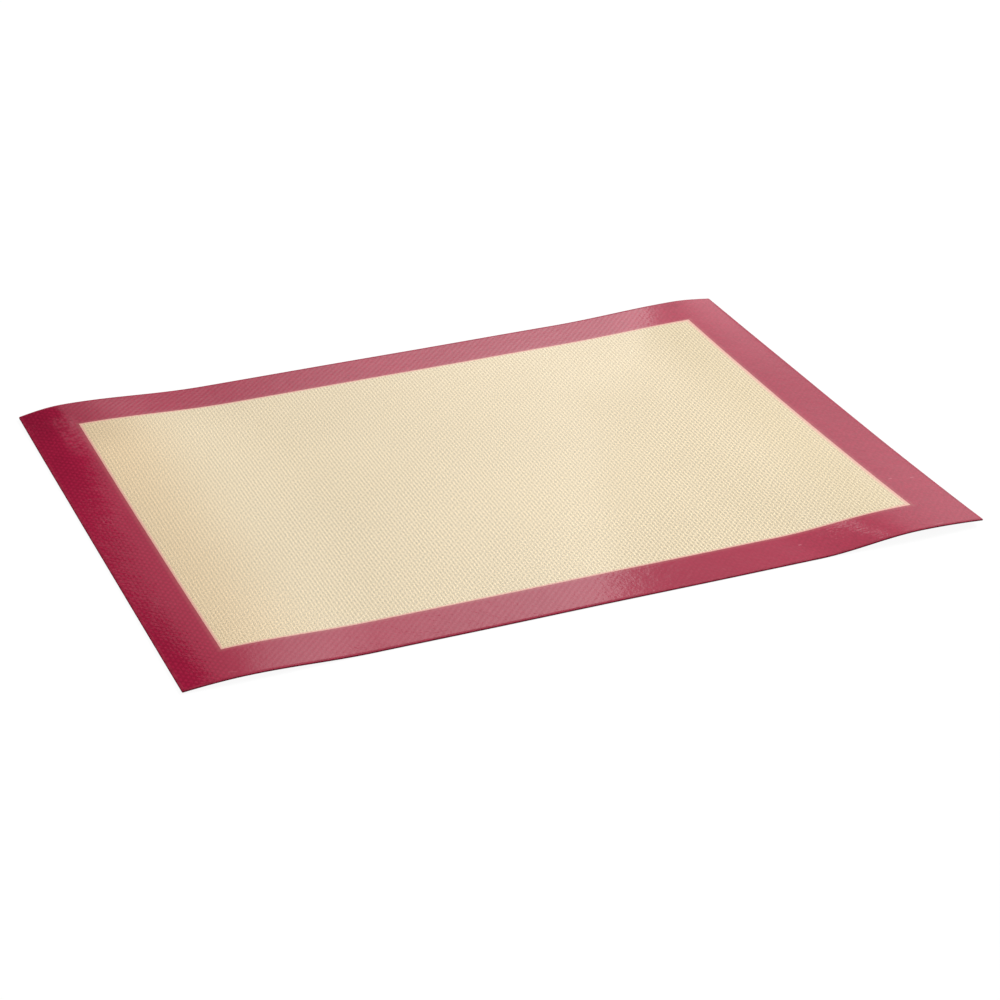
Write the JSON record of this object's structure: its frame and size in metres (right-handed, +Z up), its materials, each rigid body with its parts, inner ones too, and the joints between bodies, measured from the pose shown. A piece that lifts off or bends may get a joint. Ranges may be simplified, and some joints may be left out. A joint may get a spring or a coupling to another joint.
{
  "type": "silicone baking mat",
  "caption": "Flexible rectangular non-stick mat of silicone-coated woven glass cloth with a pigmented silicone border, lying on a work surface.",
  "frame": {"origin": "centre of the sheet's footprint, on the surface that it lies on", "axes": "+X along the long side, towards the right end in the picture; +Y to the rear; +Z up, out of the upper face"},
  "size_m": [0.4, 0.3, 0.0048],
  "materials": {
    "clear_silicone": "clear, slightly milky silicone with a soft satin gloss; the woven glass cloth shows through it as cream",
    "red_silicone": "raspberry-red pigmented silicone, smooth and fairly glossy",
    "glass_cloth": "plain-woven fibreglass, off-white, matt"
  },
  "bodies": {
    "root": {"bottom_coat": "clear_silicone", "bottom_border": "red_silicone", "glass_cloth": "glass_cloth", "top_coat": "clear_silicone", "top_border": "red_silicone", "edge_seal": "red_silicone"}
  },
  "joints": []
}
